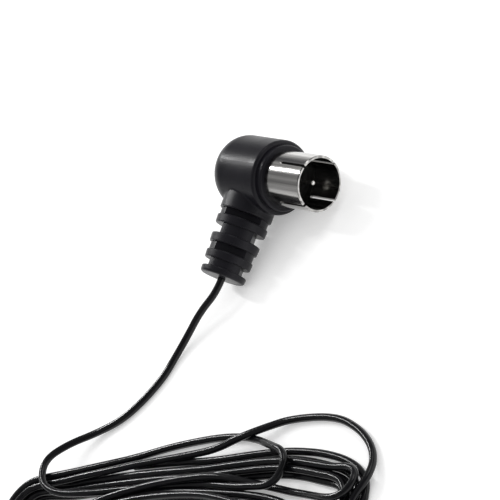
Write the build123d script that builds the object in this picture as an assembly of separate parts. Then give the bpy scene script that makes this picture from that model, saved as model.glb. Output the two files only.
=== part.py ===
from build123d import *
import os
from math import cos, pi, radians, sin, tan

# FM indoor antenna: a right-angle push-on plug on a thin single wire, whose length lies in a loose hank.
# The plug is drawn upright first: the barrel's axis is +X, the wire leaves towards -Y, and the origin
# is where the two axes cross. It is then laid on its side, as it comes to rest. Millimetres throughout.

# Barrel and pin
barrel_bore_radius = 4.75        # slips over the 3/8 inch thread of an aerial socket
barrel_wall = 0.45
barrel_mouth = 17.0              # distance from the wire's axis to the open end
barrel_base = 3.0
barrel_flange_radius = 6.1
barrel_flange_thickness = 0.9
mouth_chamfer = 0.15
slot_width = 0.5
slot_length = 6.8
slot_turn = 72.7                 # where the first slot stands round the barrel, from +Y towards +Z
slot_count = 4
pin_radius = 0.45
pin_tip_recess = 1.6             # how far the pin's tip stays behind the barrel's mouth
pin_tip_round = 0.3
pin_shank_radius = 0.75          # thicker where the insulator holds it
pin_collar_radius = 0.95
pin_collar_thickness = 0.8
pin_tail_radius = 0.8
pin_tail_end = -1.3

# Insulator inside the barrel
insulator_face = 8.6             # the black face seen at the bottom of the barrel
insulator_back = 2.0
insulator_shoulder_radius = 5.6
insulator_dish_depth = 0.5
insulator_dish_radius = 3.9

# Moulded head, neck and strain relief
head_radius = 7.0
head_front = 6.3
head_back = -8.1
head_back_round = 4.6
head_front_round = 0.6
collar_radius = 6.15
collar_height = 1.2
collar_round = 0.4
neck_radius = 5.0
neck_length = 8.25
neck_round = 0.5
relief_end = 20.7
relief_end_radius = 4.25
relief_gaps = [(8.25, 9.6), (11.2, 13.15), (14.85, 16.35), (17.9, 19.4)]
web_thickness = 6.0
web_radius_share = 0.92          # the webs stop a little short of the flanges' rims
web_turn = 45.0                  # the webs stand on the diagonals, the first pair away from the mouth
flange_edge_round = 0.22
relief_end_round = 0.5

# Inner mould and wire inside the plug
inner_mould_radius = 5.6
inner_mould_back = -4.6
inner_mould_round = 1.2
inner_neck_length = 7.4
inner_neck_radius = 3.2
inner_neck_end_radius = 2.4
conductor_radius = 0.3
conductor_end = 1.1
jacket_end = 4.6                 # the jacket is stripped back to here, below the barrel's axis
solder_radius = 1.3
solder_top = 0.95
solder_bottom = 1.5
solder_round = 0.5

# The wire outside
wire_radius = 0.7
wire_start = 17.7                # where the bent stretch starts, still inside the strain relief
wire_first_corner = 23.4
lay_angle = 7.5                  # the plug lies on its head and on the last flange

# The hank of wire on the floor. Its own frame: along it, and across it towards the far side
hank_centre = (9.5, -52.0)
hank_heading = 10.4              # from +X towards +Y
packed_height = 2.8              # two layers of turns
stacked_height = 4.2             # three layers, at the left end
packed_outside = 3.8             # from the innermost turn's middle to the outside of the packed turns
stacked_outside = 3.3            # the third layer stands in a little
loose_height = 1.44
right_fold = (38.7, -4.8, 4.4)   # middle along and across, and the innermost turn's radius
left_fold = (-37.0, -6.0, 4.2)
near_right = [(4.0, -1.5), (12.0, -1.6), (19.0, -2.3), (25.5, -4.1), (30.8, -6.8), (34.8, -8.8)]
far_side = [(34.5, 1.2), (29.0, 2.3), (23.0, 2.6), (15.0, 1.8), (6.0, 0.7), (-8.0, -0.1), (-23.0, -1.0),
            (-31.0, -1.6)]
near_left = [(-32.4, -9.0), (-27.0, -6.2), (-20.0, -3.2), (-9.0, -1.7)]
# Middle lines of the three loose loops that fan out towards the far side
small_loop = [(25.0, 3.8), (23.6, 6.0), (19.0, 7.8), (11.0, 9.6), (3.0, 9.5), (-8.0, 8.1), (-18.0, 6.1),
              (-26.0, 4.4), (-33.0, 1.0)]
big_loop = [(44.2, -4.3), (45.3, -1.0), (45.0, 2.5), (43.2, 6.8), (39.0, 10.8), (31.4, 13.7), (21.5, 13.0),
            (13.4, 10.0), (5.0, 7.3), (-6.0, 5.9), (-14.0, 4.8), (-25.0, 1.0)]
second_loop = [(14.0, 0.4), (22.5, 0.0), (31.5, -1.0), (39.5, -1.8), (42.6, -1.5), (44.2, 0.2), (44.0, 2.6),
               (41.5, 4.6), (37.0, 6.4), (30.3, 7.7), (21.7, 7.6), (13.3, 6.4), (4.8, 4.9), (-8.0, 2.6)]
# Points that the wire passes on its way from the plug to the hank's left end, with their heights
way_to_hank = [(-17.4, 21.6, 0.74), (-20.6, 16.9, 0.74), (-24.6, 13.0, 0.74), (-30.0, 10.2, 1.0),
               (-34.6, 7.0, 2.4), (-37.0, 2.8, 3.1), (-37.0, -1.0, 3.3)]


def rod_x(radius, start, end):
    """Round rod about the barrel's axis."""
    return extrude(Plane(origin=(start, 0, 0), z_dir=(1, 0, 0)) * Circle(radius), end - start)


def rod_y(radius, start, end):
    """Round rod about the wire's axis, between two distances below the barrel's axis."""
    plane = Plane(origin=(0, -start, 0), z_dir=(0, -1, 0))
    return extrude(plane * Circle(radius), end - start)


def cone_y(start_radius, end_radius, start, end):
    """Cone about the wire's axis, between two distances below the barrel's axis."""
    wide = Plane(origin=(0, -start, 0), z_dir=(0, -1, 0)) * Circle(start_radius)
    narrow = Plane(origin=(0, -end, 0), z_dir=(0, -1, 0)) * Circle(end_radius)
    return loft([wide, narrow])


def circles_at(solid, axis, place):
    """The round edges of a solid that lie square to an axis at one place along it."""
    edges = solid.edges().filter_by(GeomType.CIRCLE)
    return [edge for edge in edges if is_at(edge, axis, place)]


def is_at(edge, axis, place):
    """True where the whole edge lies at one place along the axis."""
    box = edge.bounding_box()
    low = getattr(box.min, axis)
    high = getattr(box.max, axis)
    return abs(low - place) < 0.01 and abs(high - place) < 0.01


def relief_radius(place):
    """Radius of the tapered strain relief at a distance below the barrel's axis."""
    share = (place - neck_length) / (relief_end - neck_length)
    return neck_radius + share * (relief_end_radius - neck_radius)


def head():
    """Drum round the barrel, with a deep round at its back and a low collar at its front."""
    drum = rod_x(head_radius, head_back, head_front)
    drum = fillet(circles_at(drum, "X", head_back), head_back_round)
    drum = fillet(circles_at(drum, "X", head_front), head_front_round)
    collar = rod_x(collar_radius, 0, head_front + collar_height)
    collar = fillet(circles_at(collar, "X", head_front + collar_height), collar_round)
    return drum + collar


def web(start, end, turn):
    """The bar that is left in one gap of the strain relief."""
    middle = (start + end) / 2
    reach = web_radius_share * relief_radius(middle)
    bar = Box(4 * reach, end - start, web_thickness)
    bar = Pos(0, -middle, 0) * Rot(0, turn, 0) * bar
    return bar & rod_y(reach, start, end)


def strain_relief():
    """Tapered relief, cut by gaps whose webs stand crosswise to each other in turn."""
    relief = cone_y(neck_radius, relief_end_radius, neck_length, relief_end)
    relief = relief + rod_y(neck_radius, 0, neck_length)
    for number, (start, end) in enumerate(relief_gaps):
        turn = web_turn if number % 2 == 0 else -web_turn
        relief = relief - (rod_y(2 * neck_radius, start, end) - web(start, end, turn))
    rims = []
    for start, end in relief_gaps:
        for place in (start, end):
            outermost = 0.97 * relief_radius(place)
            rims += [edge for edge in circles_at(relief, "Y", -place) if edge.radius > outermost]
    relief = fillet(rims, flange_edge_round)
    return fillet(circles_at(relief, "Y", -relief_end), relief_end_round)


def barrel():
    """Thin split tube with a flange that the head is moulded over."""
    outside = barrel_bore_radius + barrel_wall
    tube = rod_x(outside, barrel_base, barrel_mouth)
    tube = tube + rod_x(barrel_flange_radius, barrel_base, barrel_base + barrel_flange_thickness)
    tube = chamfer(circles_at(tube, "X", barrel_mouth), mouth_chamfer)
    tube = tube - rod_x(barrel_bore_radius, barrel_base, barrel_mouth)
    slot_end = barrel_mouth - slot_length + slot_width / 2
    for number in range(slot_count // 2):
        turn = slot_turn + number * 360 / slot_count
        cut = Pos((slot_end + barrel_mouth) / 2, 0, 0) * Box(barrel_mouth - slot_end, 4 * outside, slot_width)
        cut = cut + Pos(slot_end, 0, 0) * Rot(90, 0, 0) * Cylinder(slot_width / 2, 4 * outside)
        tube = tube - Rot(turn, 0, 0) * cut
    return tube


def insulator():
    """Black plug in the base of the barrel, dished round the pin, with a shoulder behind the flange."""
    body = rod_x(barrel_bore_radius, insulator_back, insulator_face)
    body = body + rod_x(insulator_shoulder_radius, insulator_back, barrel_base)
    dish_floor = Plane(origin=(insulator_face - insulator_dish_depth, 0, 0), z_dir=(1, 0, 0))
    dish_rim = Plane(origin=(insulator_face, 0, 0), z_dir=(1, 0, 0))
    dish = loft([dish_floor * Circle(insulator_dish_radius - insulator_dish_depth),
                 dish_rim * Circle(insulator_dish_radius)])
    return body - dish - rod_x(pin_shank_radius, insulator_back, insulator_face)


def pin():
    """Turned centre pin: round tip, thicker shank in the insulator, stop collar, and a cross-drilled tail."""
    tip = barrel_mouth - pin_tip_recess
    stem = rod_x(pin_radius, pin_tail_end, tip)
    stem = fillet(circles_at(stem, "X", tip), pin_tip_round)
    stem = stem + rod_x(pin_shank_radius, insulator_back, insulator_face - insulator_dish_depth)
    stem = stem + rod_x(pin_collar_radius, insulator_back - pin_collar_thickness, insulator_back)
    stem = stem + rod_x(pin_tail_radius, pin_tail_end, insulator_back - pin_collar_thickness)
    return stem - rod_y(conductor_radius, -pin_collar_radius, pin_collar_radius)


def conductor():
    """Stranded core from the stripped jacket up through the pin's tail."""
    return rod_y(conductor_radius, -conductor_end, jacket_end)


def solder(pin_solid, core):
    """Bead of solder round the pin's tail and the core."""
    bead = rod_y(solder_radius, -solder_top, solder_bottom)
    bead = fillet(circles_at(bead, "Y", solder_top) + circles_at(bead, "Y", -solder_bottom), solder_round)
    return bead - pin_solid - core


def inner_mould_outline():
    """Outer form of the first moulding, which holds the joint and grips the jacket."""
    drum = rod_x(inner_mould_radius, inner_mould_back, insulator_back)
    drum = fillet(circles_at(drum, "X", inner_mould_back), inner_mould_round)
    return drum + cone_y(inner_neck_radius, inner_neck_end_radius, 0, inner_neck_length)


def lay_on_side(shape):
    """Turn the upright plug about the barrel's axis and set it on its head and last flange."""
    return Pos(0, 0, head_radius) * Rot(lay_angle, 0, 0) * shape


def below_barrel(distance):
    """A point on the wire's axis inside the plug, once the plug lies on its side."""
    angle = radians(lay_angle)
    return (0, -distance * cos(angle), head_radius - distance * sin(angle))


def fold_points(fold, outside, first):
    """Points round the fold at one end of the hank, in steps of 30 degrees from the first angle."""
    along, across, inner = fold
    radius = inner + outside
    angles = [radians(first + 30 * step) for step in range(7)]
    return [(along + radius * cos(angle), across + radius * sin(angle)) for angle in angles]


def packed_turn(outside):
    """Closed line at one distance outside the innermost turn: near side, right fold, far side, left fold."""
    points = [(along, across - outside) for along, across in near_right]
    points += fold_points(right_fold, outside, -95)
    points += [(along, across + outside) for along, across in far_side]
    points += fold_points(left_fold, outside, 95)
    return points + [(along, across - outside) for along, across in near_left]


def slab(points, height):
    """Upright solid on the floor inside a smooth closed line."""
    with BuildSketch() as outline:
        with BuildLine():
            Spline(*points, periodic=True)
        make_face()
    return extrude(outline.sketch, height)


def strand(points, height):
    """Strip one wire wide on the floor along a smooth open line."""
    middle = Spline(*points)
    sides = ([], [])
    steps = 6 * len(points)
    for step in range(steps + 1):
        place = middle @ (step / steps)
        heading = middle % (step / steps)
        for side, sign in zip(sides, (1, -1)):
            side.append((place.X - sign * wire_radius * heading.Y, place.Y + sign * wire_radius * heading.X))
    with BuildSketch() as outline:
        with BuildLine():
            left = Spline(*sides[0])
            right = Spline(*sides[1])
            Line(left @ 0, right @ 0)
            Line(left @ 1, right @ 1)
        make_face()
    return extrude(outline.sketch, height)


def hank():
    """The hank of wire: the packed turns round two openings, higher at the left, and the loose loops."""
    turns = slab(packed_turn(packed_outside), packed_height)
    stacked = fold_points(left_fold, stacked_outside, 95) + [(-32.4, -12.3), (-27.0, -9.4), (-20.0, -6.4)]
    stacked += [(-13.0, -4.4), (-9.0, -2.2), (-12.0, 0.4), (-23.0, 2.2), (-31.0, 1.7)]
    turns = turns + slab(stacked, stacked_height)
    right_opening = [(17.0, -0.4), (19.5, 0.9), (23.0, 1.7), (29.0, 1.5), (34.5, 0.4)]
    right_opening += fold_points(right_fold, -wire_radius, -95)[::-1]
    right_opening += [(34.8, -8.1), (30.8, -6.1), (25.5, -3.4), (20.0, -1.6)]
    left_opening = fold_points(left_fold, -wire_radius, 95)
    left_opening += [(-32.4, -8.3), (-27.0, -5.5), (-20.0, -2.6), (-18.0, -1.7), (-24.0, -1.8), (-31.0, -2.3)]
    turns = turns - slab(right_opening, stacked_height) - slab(left_opening, stacked_height)
    for loop in (small_loop, big_loop, second_loop):
        turns = turns + strand(loop, loose_height)
    return Pos(*hank_centre, 0) * Rot(0, 0, hank_heading) * turns


def from_hank(point):
    """A point of the hank's frame in the part's."""
    angle = radians(hank_heading)
    along, across, height = point
    return (hank_centre[0] + along * cos(angle) - across * sin(angle),
            hank_centre[1] + along * sin(angle) + across * cos(angle), height)


def tube_radii(points):
    """The largest arc that the two runs at each corner allow."""
    radii = []
    for before, corner, after in zip(points, points[1:], points[2:]):
        run_in = Vector(*corner) - Vector(*before)
        run_out = Vector(*after) - Vector(*corner)
        half_turn = radians(run_in.get_angle(run_out)) / 2
        radii.append(0.45 * min(run_in.length, run_out.length) / tan(half_turn))
    return radii


def neck_seam(shape):
    """The edges where the neck runs into the drum and its round back."""
    seam = []
    for edge in shape.edges():
        middle = edge @ 0.5
        from_wire_axis = (middle.X ** 2 + middle.Z ** 2) ** 0.5
        if abs(from_wire_axis - neck_radius) < 0.01 and -head_radius < middle.Y < -head_radius / 2:
            seam.append(edge)
    return seam


def outer_form():
    """Head, neck and strain relief in one, with a small round where the neck leaves the head."""
    whole = head() + strain_relief()
    return fillet(neck_seam(whole), neck_round)


outside_form = outer_form()
print("outer form valid", outside_form.is_valid, "volume", round(outside_form.volume, 1))

# The pieces of the plug, upright
barrel_solid = barrel()
insulator_solid = insulator()
pin_solid = pin()
core_solid = conductor()
solder_solid = solder(pin_solid, core_solid)
jacket_inside = rod_y(wire_radius, jacket_end, wire_start)
inner_form = inner_mould_outline()
inner_solid = inner_form - insulator_solid - pin_solid - solder_solid - core_solid - jacket_inside
barrel_space = rod_x(barrel_bore_radius + barrel_wall, barrel_base, barrel_mouth)
barrel_space = barrel_space + rod_x(barrel_flange_radius, barrel_base, barrel_base + barrel_flange_thickness)
shoulder_space = rod_x(insulator_shoulder_radius, insulator_back, barrel_base)
overmould_solid = outside_form - inner_form - barrel_space - shoulder_space
overmould_solid = overmould_solid - rod_y(wire_radius, 0, relief_end)

upright = {
    "overmould": overmould_solid,
    "contact_barrel": barrel_solid,
    "barrel_insulator": insulator_solid,
    "centre_pin": pin_solid,
    "conductor_core": core_solid,
    "solder_joint": solder_solid,
    "inner_mould": inner_solid,
}

# Laid on its side, with the origin on the floor under the middle of the plug
laid = {name: lay_on_side(shape) for name, shape in upright.items()}
plug_box = laid["overmould"].bounding_box().add(laid["contact_barrel"].bounding_box())
middle_x = (plug_box.min.X + plug_box.max.X) / 2
middle_y = (plug_box.min.Y + plug_box.max.Y) / 2
to_origin = Pos(-middle_x, -middle_y, 0)
parts = {name: to_origin * shape for name, shape in laid.items()}
print("barrel axis at", round(-middle_x, 3), round(-middle_y, 3), "lowest point", round(plug_box.min.Z, 3))

# The wire: straight out of the relief, down to the floor, and on to the hank

def on_wire_axis(distance):
    """A point on the wire's axis inside or just outside the plug, in the final place."""
    x, y, z = below_barrel(distance)
    return (x - middle_x, y - middle_y, z)


wire_route = [
    on_wire_axis(wire_start),
    on_wire_axis(wire_first_corner),
    (-7.6, -20.4, 2.9),
    (-9.7, -25.2, 1.4),
    (-11.0, -30.3, 0.78),
] + [from_hank(point) for point in way_to_hank]
radii = tube_radii(wire_route)
print("tube radii", [round(radius, 1) for radius in radii])
route_line = FilletPolyline(*wire_route, radius=radii)
tube_face = Plane(origin=route_line @ 0, z_dir=route_line % 0) * Circle(wire_radius)
tube = sweep(tube_face, path=route_line)
section = pi * wire_radius ** 2
print("tube volume", round(tube.volume, 2), "section times length", round(section * route_line.length, 2))
hank_solid = hank()
wire_solid = tube + to_origin * lay_on_side(jacket_inside) - hank_solid
print("wire solids", len(wire_solid.solids()), "length outside the hank", round(wire_solid.volume / section, 1))
parts["antenna_wire"] = wire_solid
parts["wire_hank"] = hank_solid

os.makedirs("parts", exist_ok=True)
for name, shape in parts.items():
    solids = shape.solids()
    export_step(solids[0] if len(solids) == 1 else Compound(solids), "parts/" + name + ".step")
    print(name, len(solids), round(shape.volume, 2))
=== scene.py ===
import bpy
import math
from mathutils import Matrix, Vector


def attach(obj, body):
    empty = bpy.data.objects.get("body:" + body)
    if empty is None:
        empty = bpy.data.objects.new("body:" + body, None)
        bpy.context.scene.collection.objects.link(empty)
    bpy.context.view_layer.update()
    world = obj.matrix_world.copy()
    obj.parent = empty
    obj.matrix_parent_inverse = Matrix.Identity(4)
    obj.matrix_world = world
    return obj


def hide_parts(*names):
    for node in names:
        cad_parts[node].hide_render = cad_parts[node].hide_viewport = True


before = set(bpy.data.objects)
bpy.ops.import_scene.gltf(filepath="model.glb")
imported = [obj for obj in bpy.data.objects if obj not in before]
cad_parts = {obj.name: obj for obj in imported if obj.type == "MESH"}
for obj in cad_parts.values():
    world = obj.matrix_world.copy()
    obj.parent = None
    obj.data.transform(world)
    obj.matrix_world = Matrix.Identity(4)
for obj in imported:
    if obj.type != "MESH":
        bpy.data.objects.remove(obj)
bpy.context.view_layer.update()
MM = 0.001

# The camera, in millimetres in the row's frame: its place, and the directions to its right, up and back
CAMERA_PLACE = (427.25, -124.39, 331.0)
CAMERA_RIGHT = (0.6183, 0.4384, -0.6523)
CAMERA_UP = (-0.1210, 0.8732, 0.4722)
CAMERA_BACK = (0.7766, -0.2130, 0.5929)
CAMERA_LENS, CAMERA_SENSOR = 216.0, 36.0
# In metres
NEAREST_SEEN, FARTHEST_SEEN = 0.01, 20.0

# The wire, in millimetres
WIRE_RADIUS = 0.7
POINTS_PER_SPAN = 8
ROUNDNESS = 5
# Inside the plug, out of the relief and down to the floor: points in the row's frame
FROM_PLUG = [(-4.45, 2.45, 6.4), (-4.45, -10.54, 4.69), (-4.45, -16.19, 3.945),
             (-7.6, -20.4, 2.9), (-9.7, -25.2, 1.4), (-11.0, -30.3, .78)]
# The hank has its own frame: along it, across it towards the far side, and the height
HANK_CENTRE = (9.5, -52.0)
HANK_HEADING = math.radians(10.4)
TO_HANK = [
    (-17.4, 21.6, .74), (-20.6, 16.9, .74), (-24.6, 13.0, .74), (-30.0, 10.2, 1.0), (-34.6, 7.0, 2.8),
    (-37.0, 2.8, 4.9), (-35.8, -1.6, 4.9), (-31.0, -4.0, 4.9), (-24, -3.4, 3.8), (-15, -1.8, 2.5),
    (-8, -.9, 2.15), (-2, -.5, 2.15), (4, -.25, 2.15)]
SMALL_LOOP = [
    (9, -.3, 2.3), (14.8, -.7, 2.6), (19, -.5, 2.7), (21.4, -.4, 2.7), (23.3, .0, 2.9),
    (24.9, 1.1, 3.2), (25.6, 2.9, 3.5), (25.2, 4.8, 3.6), (23.7, 6.2, 3.5), (20.8, 7.1, 2.9),
    (17.6, 8.1, 2.1), (14.5, 9.1, 1.2), (9.8, 9.9, .74), (3, 9.6, .74), (-8, 7.7, .74), (-16, 5.4, .9),
    (-24, 2.9, 2.3), (-31, .9, 3.2)]
BIG_LOOP = [
    (-32.0, -13.5, 3.5), (-26.5, -10.3, 3.5), (-19, -6.0, 3.5), (-8, -3.7, 3.5), (4, -2.7, 3.5),
    (12, -3.1, 3.5), (21, -4.8, 3.0), (28.2, -6.7, 2.4), (33.0, -8.9, 2.15), (37.6, -9.9, 2.15),
    (41.3, -8.1, 2.15), (43.1, -5.3, 2.15), (43.4, -2.7, 2.2), (44.0, -.8, 2.25), (44.8, 1.0, 2.15),
    (44.9, 3.0, 1.7), (44.2, 5.4, 1.0), (42.3, 8.4, .74), (38.2, 11.5, .74), (31.4, 14.0, .74),
    (20.8, 13.5, .74), (15.6, 11.2, 1.7), (11.2, 8.9, 2.6), (5, 6.9, 1.6), (-2, 5.5, 1.8),
    (-8, 4.3, 2.2), (-14, 2.9, 2.9), (-20, 1.3, 3.5), (-25.5, .2, 3.6), (-31, -.9, 3.5)]
SECOND_LOOP = [
    (-32.3, -12.0, 3.5), (-26.8, -8.7, 3.5), (-20, -4.7, 3.5), (-12, -2.4, 3.5), (-5, -.8, 3.5),
    (2, .3, 3.5), (8.8, 1.0, 3.4), (13.5, .9, 2.4), (18, .6, 1.2), (22.5, .1, .8), (27, -.6, .9),
    (31.5, -1.3, 1.6), (35, -2.0, 2.5), (37.8, -2.5, 3.2), (40.2, -2.6, 3.6), (42.0, -2.0, 3.7),
    (43.2, -.5, 3.5), (43.3, 1.4, 3.1), (42.2, 3.0, 2.6), (40.0, 3.8, 2.3), (36.8, 3.7, 2.1),
    (32.5, 4.1, 2.1), (28, 4.6, 2.1), (24, 4.75, 2.1), (18, 4.5, 2.1), (12, 3.8, 2.1), (4, 2.7, 2.1),
    (-8, 1.9, 2.1)]
LAST_STRAND = [
    (43.1, 2.6, .74), (40.6, 4.5, .74), (37.1, 5.8, .74), (33.2, 6.6, .74), (28.7, 7.1, .74),
    (21.9, 7.2, .74), (13.3, 6.3, .74), (4.8, 5.1, .74), (-3, 4.7, .74), (-10, 4.2, .74),
    (-16, 3.6, .74)]
# Folds at the hank's ends: centre along and across, radius of the innermost turn, angle of the first point
RIGHT_FOLD = (36.4, -2.9, 4.2, -95)
LEFT_FOLD = (-37.0, -7.7, 4.6, 95)
FOLD_POINTS, FOLD_STEP = 7, 30
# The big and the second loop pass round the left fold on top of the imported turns
LOOP_FOLD_HEIGHT = 3.5
BIG_LOOP_OUTSIDE, SECOND_LOOP_OUTSIDE = 2.8, 1.2
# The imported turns: turns counted from the near side, distance outside the innermost turn, height
LAYERS = [(0, 2.9, 2.1), (1, 1.6, 2.1), (1.2, 1.2, 2.1), (1.45, .55, 2.1), (1.56, .8, 2.1), (2, .1, 2.1),
          (2.4, -.15, .72), (4.6, 3.1, .72), (4.9, 4.5, .72), (5.4, 4.5, .72)]
PACKED_FROM, PACKED_TO = 0.58, 5.32

# Floor, world and lamps, in metres and watts
FLOOR_SIZE = 6.0
FLOOR_COLOUR = (0.9, 0.9, 0.9)
FLOOR_GLOW = 0.3
WHITE = (1.0, 1.0, 1.0)
FALLING_LIGHT = (0.7, 0.7, 0.7)
CEILING_DARK, CEILING_LIGHT = (0.08, 0.08, 0.09), (0.34, 0.34, 0.34)
CEILING_BAND_SCALE = 2.2
HORIZON_TOP, CEILING_BOTTOM = 0.03, 0.25
LAMP_TARGET = (0.0, -0.03, 0.0)


def add_camera():
    data = bpy.data.cameras.new("camera")
    data.lens = CAMERA_LENS
    data.sensor_width = CAMERA_SENSOR
    data.clip_start = NEAREST_SEEN
    data.clip_end = FARTHEST_SEEN
    camera = bpy.data.objects.new("camera", data)
    bpy.context.scene.collection.objects.link(camera)
    directions = Matrix((CAMERA_RIGHT, CAMERA_UP, CAMERA_BACK)).transposed().to_4x4()
    camera.matrix_world = Matrix.Translation(Vector(CAMERA_PLACE) * MM) @ directions
    bpy.context.scene.camera = camera


# The wire
def fold(end, outside):
    """Points round one fold, anticlockwise from above."""
    along, across, inner, first = end
    radius = inner + outside
    angles = [math.radians(first + FOLD_STEP * step) for step in range(FOLD_POINTS)]
    return [(along + radius * math.cos(a), across + radius * math.sin(a)) for a in angles]


INNER_TURN = [(4, -1.5), (12, -1.6), (19, -1.8), (25.5, -2.6), (29.6, -4.0), (33, -5.7)]
INNER_TURN += fold(RIGHT_FOLD, 0)
INNER_TURN += [(34, 1.7), (28.5, 2.55), (22.5, 2.8), (15, 2.0), (6, .8), (-8, -.3), (-23, -1.9), (-31, -3.1)]
INNER_TURN += fold(LEFT_FOLD, 0)
INNER_TURN += [(-32.4, -10.9), (-27, -7.6), (-20, -4.0), (-9, -1.9)]


def packed_turn(outside):
    """One turn, anticlockwise from the middle of the near side, moved outwards from the innermost turn."""
    points = []
    for index, (along, across) in enumerate(INNER_TURN):
        before, after = INNER_TURN[index - 1], INNER_TURN[(index + 1) % len(INNER_TURN)]
        run = math.dist(before, after)
        points.append((along + outside * (after[1] - before[1]) / run,
                       across - outside * (after[0] - before[0]) / run))
    return points


def layer_at(turns):
    """Distance outside the innermost turn, and height, after that many turns."""
    for before, after in zip(LAYERS, LAYERS[1:]):
        if turns <= after[0]:
            share = (turns - before[0]) / (after[0] - before[0])
            return before[1] + share * (after[1] - before[1]), before[2] + share * (after[2] - before[2])


def packed_turns():
    per_turn = len(INNER_TURN)
    points = []
    for step in range(math.ceil(PACKED_FROM * per_turn), math.floor(PACKED_TO * per_turn) + 1):
        outside, height = layer_at(step / per_turn)
        points.append((*packed_turn(outside)[step % per_turn], height))
    return points


def top_fold(outside):
    return [(*point, LOOP_FOLD_HEIGHT) for point in fold(LEFT_FOLD, outside)]


def from_hank(point):
    """From the hank's frame to the row's."""
    along, across, height = point
    c, s = math.cos(HANK_HEADING), math.sin(HANK_HEADING)
    return (HANK_CENTRE[0] + along * c - across * s, HANK_CENTRE[1] + along * s + across * c, height)


def add_wire():
    hank = TO_HANK + SMALL_LOOP + top_fold(BIG_LOOP_OUTSIDE) + BIG_LOOP + top_fold(SECOND_LOOP_OUTSIDE)
    hank += SECOND_LOOP + packed_turns() + LAST_STRAND
    points = FROM_PLUG + [from_hank(point) for point in hank]
    curve = bpy.data.curves.new("antenna_cord", "CURVE")
    curve.dimensions = "3D"
    line = curve.splines.new("NURBS")
    line.points.add(len(points) - 1)
    for place, point in zip(line.points, points):
        place.co = (point[0] * MM, point[1] * MM, point[2] * MM, 1.0)
    line.order_u = 3
    line.use_endpoint_u = True
    line.resolution_u = POINTS_PER_SPAN
    curve.bevel_depth = WIRE_RADIUS * MM
    curve.bevel_resolution = ROUNDNESS
    curve.use_fill_caps = True
    made = bpy.data.objects.new("antenna_cord", curve)
    bpy.context.scene.collection.objects.link(made)
    return made


# Nodes that the materials, the floor and the world share
def add_node(tree, kind, **sockets):
    made = tree.nodes.new(kind)
    for name, value in sockets.items():
        made.inputs[name.replace("_", " ")].default_value = value
    return made


def spread(tree, source, low, high, low_at=0.3, high_at=0.7):
    """A value between low and high, as the source goes from low_at to high_at."""
    made = add_node(tree, "ShaderNodeMapRange", From_Min=low_at, From_Max=high_at, To_Min=low, To_Max=high)
    tree.links.new(source, made.inputs["Value"])
    return made.outputs["Result"]


def mix_colour(tree, factor, first, second):
    """A mix of two colours, each a tuple or another node's output."""
    made = tree.nodes.new("ShaderNodeMix")
    made.data_type = "RGBA"
    colours = [socket for socket in made.inputs if socket.type == "RGBA"]
    for socket, value in zip(colours, (first, second)):
        if isinstance(value, tuple):
            socket.default_value = (*value, 1)
        else:
            tree.links.new(value, socket)
    tree.links.new(factor, made.inputs["Factor"])
    return [socket for socket in made.outputs if socket.type == "RGBA"][0]


def noise(tree, scale, detail, stretch=(1, 1, 1)):
    coordinates = tree.nodes.new("ShaderNodeTexCoord")
    mapping = add_node(tree, "ShaderNodeMapping", Scale=stretch)
    tree.links.new(coordinates.outputs["Object"], mapping.inputs["Vector"])
    made = add_node(tree, "ShaderNodeTexNoise", Scale=scale, Detail=detail)
    tree.links.new(mapping.outputs["Vector"], made.inputs["Vector"])
    return made.outputs["Fac"]


# Materials
def new_material(name, colour, roughness, metallic=0.0, specular=0.5):
    material = bpy.data.materials.new(name)
    material.use_nodes = True
    shader = material.node_tree.nodes["Principled BSDF"]
    shader.inputs["Base Color"].default_value = (*colour, 1)
    shader.inputs["Roughness"].default_value = roughness
    shader.inputs["Metallic"].default_value = metallic
    shader.inputs["Specular IOR Level"].default_value = specular
    return material, material.node_tree, shader


def tint(tree, shader, source, dark, light):
    tree.links.new(mix_colour(tree, source, dark, light), shader.inputs["Base Color"])


def vary_roughness(tree, shader, source, low, high):
    tree.links.new(spread(tree, source, low, high), shader.inputs["Roughness"])


def bump(tree, shader, source, strength, distance):
    made = add_node(tree, "ShaderNodeBump", Strength=strength, Distance=distance)
    tree.links.new(source, made.inputs["Height"])
    tree.links.new(made.outputs["Normal"], shader.inputs["Normal"])


def moulded_plastic():
    material, tree, shader = new_material("moulded_plastic", (0.010, 0.010, 0.012), 0.38, specular=0.2)
    grain = noise(tree, 2200, 3.0)
    cloud = noise(tree, 180, 3.0)
    tint(tree, shader, cloud, (0.007, 0.007, 0.009), (0.014, 0.013, 0.018))
    vary_roughness(tree, shader, cloud, 0.30, 0.42)
    bump(tree, shader, grain, 0.35, 0.00004)
    return material


def nickel(name, dark, light):
    """Bright plate with fine streaks along the barrel and the pin. The darker streaks in the base colour are
    painted reflection of dark surroundings, and the roughness varies along them too.
    """
    material, tree, shader = new_material(name, light, 0.15, metallic=1.0)
    # Lengthwise streaks of painted reflection: they darken the plate's base colour where dark surroundings
    # would be mirrored
    painted_reflection_streak = noise(tree, 1000, 4.0, stretch=(0.02, 1, 1))
    tint(tree, shader, spread(tree, painted_reflection_streak, 0.0, 1.0, 0.35, 0.65), dark, light)
    vary_roughness(tree, shader, painted_reflection_streak, 0.10, 0.22)
    return material


def black_insulator():
    material, tree, shader = new_material("black_insulator", (0.008, 0.008, 0.008), 0.35, specular=0.2)
    grain = noise(tree, 1500, 2.0)
    bump(tree, shader, grain, 0.1, 0.00002)
    vary_roughness(tree, shader, grain, 0.30, 0.42)
    return material


def wire_jacket():
    material, tree, shader = new_material("wire_jacket", (0.004, 0.004, 0.005), 0.2, specular=0.3)
    cloud = noise(tree, 400, 2.0)
    vary_roughness(tree, shader, cloud, 0.15, 0.25)
    bump(tree, shader, cloud, 0.05, 0.00005)
    return material


def plain(name, colour, roughness, metallic=0.0):
    """For the pieces inside the plug, which no view shows."""
    material, tree, shader = new_material(name, colour, roughness, metallic)
    vary_roughness(tree, shader, noise(tree, 700, 2.0), roughness * 0.85, roughness * 1.15)
    return material


def assign(node_name, material):
    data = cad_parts[node_name].data
    data.materials.clear()
    data.materials.append(material)


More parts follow.
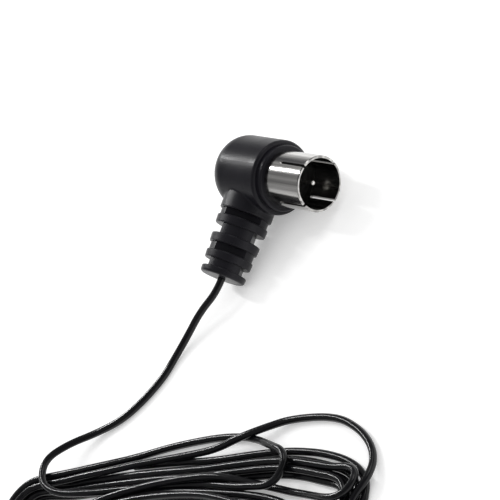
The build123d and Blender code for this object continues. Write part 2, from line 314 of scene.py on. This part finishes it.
# Floor, world and lamps
def seen_or_mirrored(tree):
    """1 for camera, glossy and transmission rays, 0 for the light that falls on things."""
    path = tree.nodes.new("ShaderNodeLightPath")
    total = path.outputs["Is Camera Ray"]
    for name in ("Is Glossy Ray", "Is Transmission Ray"):
        larger = tree.nodes.new("ShaderNodeMath")
        larger.operation = "MAXIMUM"
        tree.links.new(total, larger.inputs[0])
        tree.links.new(path.outputs[name], larger.inputs[1])
        total = larger.outputs["Value"]
    return total


def add_floor():
    """A pale floor that keeps the object's shadow, and glows only where it is seen or mirrored."""
    bpy.ops.mesh.primitive_plane_add(size=FLOOR_SIZE, location=(0, 0, 0))
    made = bpy.context.object
    made.name = "floor"
    material, tree, shader = new_material("pale_floor", FLOOR_COLOUR, 0.9, specular=0.1)
    shader.inputs["Emission Color"].default_value = (*WHITE, 1)
    glow = tree.nodes.new("ShaderNodeMath")
    glow.operation = "MULTIPLY"
    glow.inputs[1].default_value = FLOOR_GLOW
    tree.links.new(seen_or_mirrored(tree), glow.inputs[0])
    tree.links.new(glow.outputs["Value"], shader.inputs["Emission Strength"])
    made.data.materials.append(material)


def add_world():
    """Pale light all round. Mirrored, it is white at the horizon and a dim studio ceiling above."""
    made = bpy.data.worlds.new("world")
    bpy.context.scene.world = made
    made.use_nodes = True
    tree = made.node_tree
    shader = tree.nodes["Background"]
    place = tree.nodes.new("ShaderNodeTexCoord").outputs["Generated"]
    parts = tree.nodes.new("ShaderNodeSeparateXYZ")
    tree.links.new(place, parts.inputs["Vector"])
    bands = add_node(tree, "ShaderNodeTexNoise", Scale=CEILING_BAND_SCALE, Detail=1.0)
    tree.links.new(place, bands.inputs["Vector"])
    band = spread(tree, bands.outputs["Fac"], 0.0, 1.0, 0.4, 0.6)
    ceiling = mix_colour(tree, band, CEILING_DARK, CEILING_LIGHT)
    above = spread(tree, parts.outputs["Z"], 0.0, 1.0, HORIZON_TOP, CEILING_BOTTOM)
    mirrored = mix_colour(tree, above, WHITE, ceiling)
    path = tree.nodes.new("ShaderNodeLightPath")
    colour = mix_colour(tree, path.outputs["Is Glossy Ray"], FALLING_LIGHT, mirrored)
    colour = mix_colour(tree, path.outputs["Is Transmission Ray"], colour, WHITE)
    colour = mix_colour(tree, path.outputs["Is Camera Ray"], colour, WHITE)
    tree.links.new(colour, shader.inputs["Color"])
    shader.inputs["Strength"].default_value = 1.0


def add_lamp(name, place, width, height, power):
    data = bpy.data.lights.new(name, "AREA")
    data.energy = power
    data.shape = "RECTANGLE"
    data.size = width
    data.size_y = height
    made = bpy.data.objects.new(name, data)
    bpy.context.scene.collection.objects.link(made)
    made.location = place
    made.rotation_euler = (Vector(LAMP_TARGET) - Vector(place)).to_track_quat("-Z", "Y").to_euler()


add_camera()
wire = add_wire()

assign("overmould", moulded_plastic())
# The dark colour of each plate is painted reflection, laid into the base colour as lengthwise streaks
assign("contact_barrel", nickel("nickel_plate", (0.27, 0.265, 0.26), (0.66, 0.65, 0.63)))
assign("centre_pin", nickel("pin_plate", (0.66, 0.65, 0.62), (0.80, 0.79, 0.76)))
assign("barrel_insulator", black_insulator())
assign("inner_mould", plain("milky_plastic", (0.72, 0.71, 0.66), 0.4))
assign("conductor_core", plain("bare_copper", (0.72, 0.36, 0.20), 0.3, 1.0))
assign("solder_joint", plain("tin_solder", (0.55, 0.55, 0.56), 0.3, 1.0))
jacket = wire_jacket()
assign("antenna_wire", jacket)
assign("wire_hank", jacket)
wire.data.materials.append(jacket)

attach(wire, "root")
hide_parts("antenna_wire", "wire_hank")

add_floor()
add_world()
# The upright strip draws the thin highlights along the lying strands
add_lamp("upright_strip", (-0.43, 0.07, 0.34), 0.02, 0.34, 1.4)
add_lamp("soft_side", (0.15, 0.55, 0.45), 0.45, 0.25, 0.8)

bpy.context.scene.view_settings.view_transform = "Standard"
